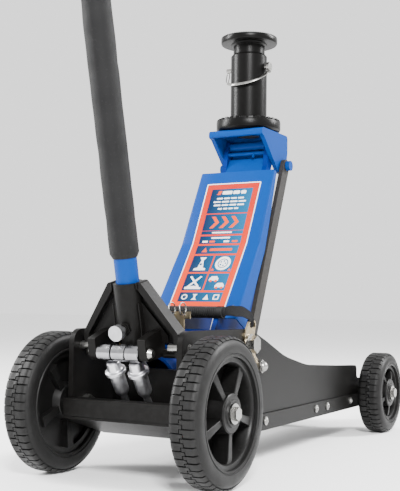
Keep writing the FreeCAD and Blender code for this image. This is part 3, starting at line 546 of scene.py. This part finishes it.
HUB_RADIUS = 29.5
OPENING = {"rear": 68.5, "front": 47.5}
for side, hand in ((1, "right"), (-1, "left")):
    for end in ("rear", "front"):
        low, high = [Vector(corner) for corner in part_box(f"{end}_tyre_{hand}")]
        inner = min(abs(low.x), abs(high.x)) / MM
        wide = (high.x - low.x) / MM
        axle = place_of(f"{end}_wheel_{hand}_spin")
        wheel(f"{end}_WHAT_{hand}", axle, inner, wide, axle.z / MM, OPENING[end], HUB_RADIUS, side)


# ---------------------------------------------------------------- arm cover and its label
FOOT, FOLD, HEAD = (30, 25.0), (174, 9.0), (312.4, 16.5)


def face_height(s):
    """Height of the cover's face above the arm's axis: two flats that meet at the fold."""
    lower = FOLD[1] + (FOLD[0] - s) * (FOOT[1] - FOLD[1]) / (FOLD[0] - FOOT[0])
    upper = FOLD[1] + (s - FOLD[0]) * (HEAD[1] - FOLD[1]) / (HEAD[0] - FOLD[0])
    return max(lower, upper)


def add_cover():
    """Pressed sheet: narrower at the top, its side flanges deeper towards the foot."""
    sheet, corner = 1.9, 5
    rings = []
    stations = [FOOT[0], 46, 70, 100, 130, 160, 168, 172, FOLD[0], 176, 180, 190, 220, 250, 280, 300, 308,
                HEAD[0]]
    for s in stations:
        share = (s - FOOT[0]) / (HEAD[0] - FOOT[0])
        half = 74.3 - 5.0 * share
        top = face_height(s)
        deep = 26.0 * (1 - share) ** 0.8 + 8.0
        ring = []
        for inset, sense in ((0.0, 1), (sheet, -1)):
            line = [(-half + inset, top - deep), (-half + inset, top - corner)]
            bend = corner - inset
            for step in range(5):
                turn = math.pi / 2 * step / 4
                line.append((-half + corner - bend * math.cos(turn), top - corner + bend * math.sin(turn)))
            line += [(-half * 0.5, top - inset), (half * 0.5, top - inset)]
            line += [(-x, h) for x, h in reversed(line[:7])]
            ring += line[::sense]
        rings.append([ARM(x, s, h) for x, h in ring])
    cover = put(merged("cover_sheet", [loft(rings)]), "cover_sheet", "lift_arm", BLUE, 35)
    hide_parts("arm_cover")


add_cover()


def ink(name, low, high, direction="s", gloss=0.22):
    """Printed colour that runs from low to high across the label."""
    colour = Material(name, low, gloss)
    place = colour.tree.nodes.new("ShaderNodeSeparateXYZ")
    shift = colour.tree.nodes.new("ShaderNodeVectorMath")
    shift.operation = "SUBTRACT"
    shift.inputs[1].default_value = PIVOT
    colour.tree.links.new(colour.place, shift.inputs[0])
    colour.tree.links.new(shift.outputs[0], place.inputs[0])
    source, ends = {"s": ("Z", (0.06, 0.26)), "x": ("X", (-0.045, 0.045))}[direction]
    colour.tint(colour.ramp(place.outputs[source], *ends), high)
    colour.tint(colour.noise(45, 4), tuple(0.85 * part + 0.03 for part in low), 0.18)
    colour.bump(colour.noise(700, 2), 0.00003, 0.3)
    colour.set(Coat_Weight=0.05, Coat_Roughness=0.12)
    colour.shader.inputs["Specular IOR Level"].default_value = 0.12
    return colour.done()


INKS = {
    "white": ink("ink_white", (0.60, 0.60, 0.60), (0.66, 0.66, 0.66)),
    "frame": ink("ink_frame", (0.52, 0.030, 0.0), (0.34, 0.010, 0.006)),
    "panel": ink("ink_panel", (0.0, 0.003, 0.026), (0.0, 0.09, 0.20), "x"),
    "orange": ink("ink_orange", (0.56, 0.055, 0.004), (0.56, 0.04, 0.003)),
}


def patch(outline, layer, ink_name, store):
    """Printed shape given as (x, s) in millimetres, wrapped over the bend of the cover."""
    form = bmesh.new()
    form.faces.new([form.verts.new((x, s, 0)) for x, s in outline])
    bmesh.ops.bisect_plane(form, geom=form.verts[:] + form.edges[:] + form.faces[:],
                           plane_co=(0, FOLD[0], 0), plane_no=(0, 1, 0))
    form.verts.index_update()
    points = [ARM(v.co.x, v.co.y, face_height(v.co.y) + 0.05 + 0.045 * layer) for v in form.verts]
    faces = [tuple(v.index for v in face.verts) for face in form.faces]
    store.setdefault(ink_name, []).append((points, faces))
    form.free()


def box_outline(x, s, wide, high, radius=0.0):
    """Rectangle about (x, s) with rounded corners."""
    if radius <= 0:
        return [(x - wide / 2, s - high / 2), (x + wide / 2, s - high / 2),
                (x + wide / 2, s + high / 2), (x - wide / 2, s + high / 2)]
    outline = []
    for corner, (sx, ss) in enumerate(((1, -1), (1, 1), (-1, 1), (-1, -1))):
        for step in range(5):
            turn = math.radians(-90 + 90 * corner + 22.5 * step)
            outline.append((x + sx * (wide / 2 - radius) + radius * math.cos(turn),
                            s + ss * (high / 2 - radius) + radius * math.sin(turn)))
    return outline


def disc_outline(x, s, radius, count=28):
    return [(x + radius * math.cos(2 * math.pi * n / count), s + radius * math.sin(2 * math.pi * n / count))
            for n in range(count)]


def add_label():
    """White border, orange frame, blue panels, and plain bars and simple signs in them."""
    art = {}

    def bar(x, s, wide, high, layer, colour="white", radius=0.0):
        patch(box_outline(x, s, wide, high, radius), layer, colour, art)

    bar(0, 168.5, 100, 243, 0, "white", 2.0)
    bar(0, 168.5, 96.5, 239.5, 1, "frame", 1.2)
    bar(0, 255, 76, 47, 2, "panel", 1.0)
    bar(0, 214, 76, 31, 2, "panel", 1.0)
    bar(0, 194.5, 76, 6.5, 2, "panel", 0.8)
    bar(0, 181, 76, 14.5, 2, "panel", 1.0)
    bar(0, 161.5, 76, 17, 2, "panel", 1.0)
    for x in (-19.6, 19.6):
        for s in (133, 97):
            bar(x, s, 36.8, 33, 2, "panel", 1.0)
    bar(0, 68, 76, 18, 2, "panel", 1.0)
    # heading bars and the big generic chevrons
    patch([(-27, 267.5), (-21, 267.5), (-18, 275), (-24, 275)], 3, "orange", art)
    for x, wide in ((-8, 18), (9, 12), (22, 9)):
        bar(x, 271.2, wide, 6.5, 3, "white", 1.5)
    for s, wide in ((260, 52), (253.5, 62), (247, 58), (240, 40)):
        for number in range(4):
            step = wide / 4
            bar(-wide / 2 + step * (number + 0.5), s, step - 2.2, 2.8, 3, "white", 0.8)
    for shift in (-26, -8, 10):
        chevron = [(0, 203), (7, 203), (16, 214), (7, 225), (0, 225), (9, 214)]
        patch([(shift + x, s) for x, s in chevron], 3, "orange", art)
    bar(0, 194.5, 36, 2.6, 3, "white", 0.8)
    bar(0, 184.5, 34, 2.8, 3, "white", 0.8)
    for x, colour in ((-27, "white"), (-14, "orange"), (12, "white"), (27, "orange")):
        bar(x, 177.8, 10, 3.4, 3, colour, 0.9)
    patch([(-27, 156.5), (-17, 156.5), (-22, 166)], 3, "orange", art)
    bar(7, 161.5, 40, 5.0, 3, "orange", 1.2)
    # a jack on its feet, a wheel, a crossed spanner and a pair of vehicles
    jack = [(-30, 120), (-9, 120), (-9, 123.5), (-14, 125), (-17, 140), (-13, 146), (-25, 146),
            (-21, 140), (-24, 125), (-30, 123.5)]
    patch(jack, 3, "white", art)
    patch(disc_outline(-19.5, 132, 2.2), 4, "panel", art)
    patch(disc_outline(19.6, 133.5, 13.5), 3, "white", art)
    patch(disc_outline(19.6, 133.5, 9.2), 4, "panel", art)
    patch(disc_outline(19.6, 133.5, 7.6), 5, "white", art)
    for number in range(5):
        turn = 2 * math.pi * number / 5
        nut = (19.6 + 4.6 * math.cos(turn), 133.5 + 4.6 * math.sin(turn))
        patch(disc_outline(*nut, 1.5, 12), 6, "panel", art)
    for x in (4.5, 34.5):
        patch([(x - 3, 119), (x + 3, 119), (x, 124)], 4, "orange", art)
    for lean in (1, -1):
        patch([(-19.6 - 11 * lean, 88), (-19.6 - 8 * lean, 86.5), (-19.6 + 11 * lean, 107),
               (-19.6 + 8 * lean, 108.5)][::lean], 3 + (lean < 0), "white", art)
    patch([(-34, 83), (-5, 83), (-5, 86), (-18, 89.5), (-34, 87)], 5, "white", art)
    for x, s in ((13, 103), (27, 90)):
        car = [(-8, -3.5), (8, -3.5), (8, 0.5), (4.5, 5), (-4.5, 5), (-8, 0.5)]
        patch([(x + across, s + along) for across, along in car], 3, "white", art)
        for wheel_x in (-4.5, 4.5):
            patch(disc_outline(x + wheel_x, s - 4, 2.2, 14), 4, "orange", art)
    # the strip of four small signs at the foot
    patch(disc_outline(-28, 68, 5.2, 20), 3, "white", art)
    patch(disc_outline(-28, 68, 3.2, 20), 4, "panel", art)
    waisted = [(-15, 62.5), (-5, 62.5), (-8.5, 66), (-8.5, 70), (-6, 73.5), (-14, 73.5), (-11.5, 70),
               (-11.5, 66)]
    patch(waisted, 3, "white", art)
    patch([(6, 63), (16, 63), (11, 73)], 3, "white", art)
    bar(28, 68, 10, 10, 3, "white", 1.0)
    bar(28, 68, 6, 6, 4, "panel", 0.6)
    mesh = merged("label_print", [shape for group in art.values() for shape in group])
    tally = [slot for slot, group in enumerate(art.values()) for shape in group for _ in shape[1]]
    for name in art:
        mesh.materials.append(INKS[name])
    for face, slot in zip(mesh.polygons, tally):
        face.material_index = slot
    label = put(mesh, "label_print", "lift_arm", None)
    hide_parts("arm_label")


add_label()


# ---------------------------------------------------------------- saddle, post top and lock pin
def ring_shape(profile, start, axis, segments=96):
    return lathe(profile, start, axis, segments, looped=True)


def add_lower_saddle():
    """Dished disc with a low ring of teeth standing round its rim."""
    low, high = [Vector(corner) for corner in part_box("lower_saddle")]
    top, radius = high.z / MM, (high.x - low.x) / 2 / MM
    under = low.z / MM
    start = Vector((POST.x, POST.y, 0))
    profile = [(under, 0.1), (under, 19.5), (under + 5.9, 19.9), (under + 6.2, radius - 6),
               (under + 8, radius - 2.5), (under + 10.8, radius - 0.2), (top - 4.6, radius),
               (top - 3.6, radius - 0.6), (top - 3.4, radius - 6.5), (top - 7, radius - 8.5),
               (top - 9, radius - 14), (top - 9, 0.1)]
    shapes = [lathe(profile, start, (0, 0, 1), 120)]
    teeth = 30
    for number in range(teeth):
        turn = 2 * math.pi * number / teeth
        out = Vector((math.cos(turn), math.sin(turn), 0))
        side = Vector((-out.y, out.x, 0))
        place = start + out * (radius - 3.4) * MM
        ring = []
        for height, half, deep in ((top - 4.2, 4.2, 3.0), (top - 1.2, 3.4, 2.7), (top, 2.2, 1.9)):
            ring.append([place + (side * a * half + out * b * deep) * MM + Vector((0, 0, height * MM))
                         for a, b in ((-1, -1), (1, -1), (1, 1), (-1, 1))])
        shapes.append(loft(ring))
    mesh = merged("saddle_dish", shapes)
    saddle = put(mesh, "saddle_dish", "saddle", POST_BLACK, 40, 0.5 * MM)
    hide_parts("lower_saddle")


def add_top_saddle():
    """Flat load disc: knurled edge, raised grip lugs and a collar over the post."""
    low, high = [Vector(corner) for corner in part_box("top_saddle")]
    top, radius = high.z / MM, (high.x - low.x) / 2 / MM
    start = Vector((POST.x, POST.y, 0))
    bottom, stem = low.z / MM, 27.0
    profile = [(bottom, 0.1), (bottom, stem - 1), (bottom + 1, stem), (top - 14, stem),
               (top - 12.5, stem + 3.5), (top - 11, stem + 4), (top - 11, radius - 3),
               (top - 10.4, radius - 1.4), (top - 8.6, radius - 0.6), (top - 2.2, radius - 0.6),
               (top - 1.0, radius - 1.2), (top - 1.0, radius - 6), (top - 3, radius - 8), (top - 3, 0.1)]
    shapes = [lathe(profile, start, (0, 0, 1), 120)]
    knurls = 72
    for number in range(knurls):
        turn = 2 * math.pi * number / knurls
        out = Vector((math.cos(turn), math.sin(turn), 0))
        side = Vector((-out.y, out.x, 0))
        place = start + out * (radius - 3.0) * MM
        shapes.append(loft([[place + (side * a * 1.1 + out * b) * MM + Vector((0, 0, (top + h) * MM))
                             for a, b in ((-1, -2.4), (1, -2.4), (1, 2.2), (-1, 2.2))] for h in (-2.6, 0.0)]))
    for row in range(-3, 4):
        for column in range(-3, 4):
            spot = Vector((row * 9.5, column * 9.5 + (row % 2) * 4.7, 0))
            if spot.length < radius - 13:
                shapes.append(loft([[start + (spot + Vector((a * r, b * r, top + h))) * MM
                                     for a, b in ((-1, 0), (0, -1), (1, 0), (0, 1))]
                                    for h, r in ((-3.2, 3.4), (-1.6, 1.6))]))
    disc = put(merged("load_disc", shapes), "load_disc", "post", POST_BLACK, 40, 0.3 * MM)
    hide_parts("top_saddle")


def add_bail():
    """Flat spring strip from the pin's head round the post, ending in a wire clip over the tip."""
    pin = centre("lock_pin")
    head = Vector(JOINTS["bail_swing"]["pos_m"])
    half = head.x / MM
    at = Frame((0, POST.y, pin.z), (1, 0, 0), (0, 1, 0), (0, 0, 1))
    path = curve([at(half - 0.5, -1, -6.5), at(half - 1.5, -12, -16), at(half - 9, -27, -26),
                  at(12, -36, -32.5), at(-8, -37.5, -33.8), at(-22, -30, -31), at(-32, -18, -26)], 14)
    strip = tube(path, 2.5, 12, 0.3, lambda t: Vector((0.2 - 0.4 * t, -1, 0.35)))
    clip = curve([at(-30, -20, -27), at(-38, -11, -21), at(-41, -4, -11), at(-40.4, -1, -3),
                  at(-39.6, 1.5, -2.6), at(-37, -1, -10), at(-33.5, -11, -20), at(-27, -23, -29)], 10)
    eye = ring_shape([(-2.2, 1.3), (2.2, 1.3), (2.2, 2.4), (-2.2, 2.4)], at(half, 0, -8.5), (1, 0, 0), 32)
    link = tube(curve([at(half, 0, -8), at(half + 0.3, -3, -3.5), at(half - 1, -4.5, 2.5)], 8), 0.9)
    shapes = [strip, tube(clip, 0.85), eye, link]
    bail = put(merged("spring_bail", shapes), "spring_bail", "bail", ZINC, 50)
    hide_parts("lock_pin_bail")


add_lower_saddle()
add_top_saddle()
add_bail()


# ---------------------------------------------------------------- handle, carrying handle and straps
def add_foam():
    """Foam sleeve with soft ends, faint waves along its length and a few dents."""
    random.seed(7)
    outer, bore, low, high = 20.3, 16.4, 122.5, 719.5
    steps, sides = 90, 56
    turns = [2 * math.pi * item / sides for item in range(sides)]
    dents = [(random.uniform(140, 700), random.uniform(0, 6.28), random.uniform(9, 26)) for _ in range(16)]
    rings = []
    for step in range(steps + 1):
        z = low + (high - low) * step / steps
        near = min(z - low, high - z)
        round_end = 3.2 * (1 - min(near / 6, 1)) ** 2
        ring = []
        for turn in turns:
            r = outer - round_end - 0.12 * (1 + math.sin(z * 0.13 + 2 * math.sin(turn)))
            for spot, angle, reach in dents:
                gap = math.hypot(z - spot, 20 * math.sin((turn - angle) / 2))
                r -= 0.55 * math.exp(-(gap / reach) ** 2 * 2)
            ring.append(YOKE(r * math.cos(turn), SOCKET_Y + r * math.sin(turn), z))
        rings.append(ring)
    for z in (high, low):
        rings.append([YOKE(bore * math.cos(turn), SOCKET_Y + bore * math.sin(turn), z) for turn in turns])
    points, faces = loft(rings, capped=False)
    last = (len(rings) - 1) * sides
    faces += [(last + i, last + (i + 1) % sides, (i + 1) % sides, i) for i in range(sides)]
    foam = put(merged("foam_tube", [(points, faces)]), "foam_tube", "handle", FOAM, 50)
    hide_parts("foam_sleeve")


def add_carry_handle():
    """Ribbed rubber tube across the rear, gathered at both ends round the webbing."""
    place = centre("carry_handle")
    low, high = [Vector(corner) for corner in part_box("carry_handle")]
    half = (high.x - low.x) / 2 / MM
    radius = (high.z - low.z) / 2 / MM
    profile = []
    ribs = 46
    for rib in range(ribs):
        x = -half + 2 * half * rib / ribs
        step = 2 * half / ribs
        profile += [(x, radius - 1.0), (x + 0.25 * step, radius - 0.95), (x + 0.4 * step, radius - 0.25),
                    (x + 0.85 * step, radius - 0.25), (x + step * 0.98, radius - 0.9)]
    profile = [(-half, 3.0)] + profile + [(half, 3.0)]
    shapes = [lathe(profile, place, X_AXIS, 48)]
    for sign in (-1, 1):
        start, end = sign * (half - 9), sign * half
        band = [(start, radius), (start, radius - 3), (end, radius - 3), (end, radius)]
        shapes.append(ring_shape(band, place, X_AXIS, 48))
    rubber = put(merged("carry_grip", shapes), "carry_grip", "root", GRIP, 40)
    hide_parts("carry_handle")


def ribbon(path, half, thick, facing):
    """Flat webbing along a path, thicker along its two edges."""
    edge = [(-1, 0), (-0.93, -0.5), (-0.5, -0.42), (0.5, -0.42), (0.93, -0.5)]
    section = edge + [(-a, -b) for a, b in edge]
    rings = []
    for number, point in enumerate(path):
        ahead = (path[min(number + 1, len(path) - 1)] - path[max(number - 1, 0)]).normalized()
        share = number / (len(path) - 1)
        wide = ahead.cross(facing(share)).normalized()
        thin = wide.cross(ahead).normalized()
        wave = 1.0 + 0.05 * math.sin(share * 31)
        rings.append([point + (wide * a * half(share) * wave + thin * b * thick) * MM for a, b in section])
    return loft(rings)


def add_straps():
    """Webbing from each end of the carrying handle, twisting down into the bracket's ear."""
    shapes = []
    place = centre("carry_handle")
    for side in (-1, 1):
        at = Frame((0, place.y, place.z), (side, 0, 0), (0, 1, 0), (0, 0, 1))
        path = curve([at(66, 0, 0), at(76, 3, 1.5), at(84, 15, 2), at(90, 30, 0.5), at(93.5, 42, -4),
                      at(95.0, 48, -10), at(93.0, 49, -16), at(89.5, 47.5, -17)], 10)
        shapes.append(ribbon(path, lambda t: 6.5 + 5.0 * math.sin(math.pi * min(1, t * 1.35)), 1.7,
                             lambda t: Vector((0.25 + 0.75 * t, -0.75 + 0.75 * t, 0.8 - 0.5 * t))))
        gather = [(-4, 7.6), (-2, 8.4), (4, 8.2), (8, 6.6), (9, 3)]
        shapes.append(lathe(gather, at(66, 0, 0), (side, 0.1, 0), 32))
    loops = put(merged("strap_loops", shapes), "strap_loops", "root", WEBBING, 60)
    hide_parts("carry_straps")


def add_rings():
    """Closed wire rings with a small hooked joint, hanging in the plate's holes."""
    low, high = [Vector(corner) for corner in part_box("wire_rings")]
    middle = (low + high) / 2
    radius = (high.z - low.z) / 2 / MM - 1.0
    shapes = []
    for x in (low.x + 1.0 * MM, high.x - 1.0 * MM):
        at = Frame((x, middle.y, middle.z), (1, 0, 0), (0, 1, 0), (0, 0, 1))
        path = []
        for step in range(49):
            t = 2 * math.pi * step / 48
            across = radius * math.cos(t) * (1.0 - 0.12 * math.sin(t))
            path.append(at(0.7 * math.sin(2.2 * t), across, radius * math.sin(t)))
        shapes.append(tube(path, 0.95))
    rings = put(merged("ring_wires", shapes), "ring_wires", "root", ZINC, 50)
    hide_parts("wire_rings")


def add_springs():
    """Close-wound return springs beside the power cylinder."""
    low, high = [Vector(corner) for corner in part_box("arm_return_springs")]
    length = high.y - low.y
    for name, x in (("right", high.x - 3.8 * MM), ("left", low.x + 3.8 * MM)):
        middle = Vector((x, low.y, (low.z + high.z) / 2))
        turns = 26
        path = []
        for step in range(turns * 14 + 1):
            share = step / (turns * 14)
            turn = 2 * math.pi * turns * share
            path.append(middle + Vector((3.0 * math.cos(turn) * MM, 4 * MM + (length - 8 * MM) * share,
                                         3.0 * math.sin(turn) * MM)))
        hooks = [tube(curve([middle + Vector((3 * MM, 4.2 * MM, 0)), middle + Vector((0, 2.5 * MM, 2.5 * MM)),
                             middle + Vector((0, 0.8 * MM, 0))], 6), 0.75),
                 tube(curve([middle + Vector((3 * MM, length - 4.2 * MM, 0)),
                             middle + Vector((0, length - 2.5 * MM, 2.5 * MM)),
                             middle + Vector((0, length - 0.8 * MM, 0))], 6), 0.75)]
        label = f"return_spring_{name}"
        spring = put(merged(label, [tube(path, 0.75, 8)] + hooks), label, "root", ZINC, 60)
        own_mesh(spring)
        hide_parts("arm_return_springs")


add_foam()
add_carry_handle()
add_straps()
add_rings()
add_springs()


# ---------------------------------------------------------------- small parts of the frame and yoke
def add_lock_nut():
    """Lock nut and washer on the clamp screw, against the socket."""
    screw = Vector(JOINTS["clamp_screw_turn"]["axis"]).normalized()
    seat = YOKE(0, SOCKET_Y, 28.0)
    nut = [(20.2, 5.2), (20.2, 9.4), (21, 9.8), (24, 9.6), (24.6, 8.8), (24.6, 5.2)]
    washer = [(24.6, 5.2), (24.6, 7.4), (27, 7.2), (27, 5.2)]
    shapes = [lathe(nut, seat, screw, 6, looped=True), lathe(washer, seat, screw, 24, looped=True)]
    put(merged("lock_nut", shapes), "lock_nut", "yoke", BLACK, 40, 0.3 * MM)


def add_weld_beads():
    """Beads that join the bars and the webs to the socket."""
    shapes = []
    for side in (-1, 1):
        path = [YOKE(side * (20.4 + 0.9 * math.sin(n * 0.9) * 0.3), SOCKET_Y - 10.6, 81 + n * 0.5)
                for n in range(16)]
        shapes.append(tube(path, 1.6, 10))
        path = [YOKE(side * 17.5, SOCKET_Y - 11.0 + 0.1 * math.sin(n), 8 + n * 2.2) for n in range(25)]
        shapes.append(tube([point + Vector((side * 3.2, 0, 0)) * MM for point in path], 1.3, 10))
    put(merged("weld_beads", shapes), "weld_beads", "yoke", BLACK, 60)


def add_gussets():
    """Plates that close the gap between the webs and the bars."""
    web = [(15, 66), (20.4, 79), (56, 31), (70.5, 13), (70.5, 6), (15, 6)]
    shapes = [prism([(side * x, z) for x, z in web], lambda x, z, y: YOKE(x, y, z), (8.6, 11.2))
              for side in (-1, 1)]
    put(merged("back_gussets", shapes), "back_gussets", "yoke", BLACK, 30, 0.4 * MM)


def add_grease():
    """Blobs of grease round the foot of the socket."""
    random.seed(3)
    grease = Material("grease", (0.30, 0.16, 0.02), 0.3)
    grease.tint(grease.noise(240, 4), (0.12, 0.055, 0.008), 0.6)
    grease.bump(grease.noise(500, 4), 0.0006, 0.8)
    reach = 19.6
    shapes = []
    for number in range(9):
        turn = random.uniform(-2.6, -0.5)
        place = YOKE(reach * math.cos(turn), SOCKET_Y + reach * math.sin(turn), random.uniform(3.6, 6.5))
        size = random.uniform(1.0, 2.2)
        blob = [(-size * 0.6, 0.1), (-size * 0.4, size), (size * 0.3, size * 1.2), (size * 0.7, 0.1)]
        shapes.append(lathe(blob, place, (math.cos(turn), math.sin(turn), 0.3), 12))
    put(merged("grease_spots", shapes), "grease_spots", "yoke", grease.done(), 60)


def add_rollers():
    """Two hardened rollers with a narrower sleeve between them, and black rings in the gaps at its ends as
    painted shade.
    """
    shaft = Vector(JOINTS["roller_spin"]["pos_m"])
    bore, rim = 6.1, 0.9
    shapes = []
    for low, high, radius in ((-33.3, -12.2, 12.2), (-10.4, 10.4, 11.6), (12.2, 33.3, 12.2)):
        profile = [(low, bore), (low, radius - 1), (low + rim, radius), (high - rim, radius),
                   (high, radius - 1), (high, bore)]
        shapes.append(ring_shape(profile, shaft, X_AXIS, 72))
    sleeves = put(merged("roller_sleeves", shapes), "roller_sleeves", "rollers", CHROME, 40)
    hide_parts("pump_rollers")
    # Black rings set deep in the gaps between the sleeves, as painted shade in those gaps.
    shapes = []
    for side in (-1, 1):
        low, high = side * 11.3 - 0.8, side * 11.3 + 0.8
        shapes.append(ring_shape([(low, bore), (low, 9.6), (high, 9.6), (high, bore)], shaft, X_AXIS, 48))
    put(merged("roller_gap_painted_shade", shapes), "roller_gap_painted_shade", "rollers", BLACK, 40)


def add_arm_end():
    """Plate welded across the fork behind the bracket's pin."""
    outline = [(350, -8.5), (386, -9.5), (386, -11.3), (350, -10.3)]
    plate = prism(outline, lambda y, z, x: ARM(x, y, z), (-34, 34))
    put(merged("arm_end_plate", [plate]), "arm_end_plate", "lift_arm", BLUE, 30)


add_lock_nut()
add_weld_beads()
add_gussets()
add_grease()
add_rollers()
add_arm_end()
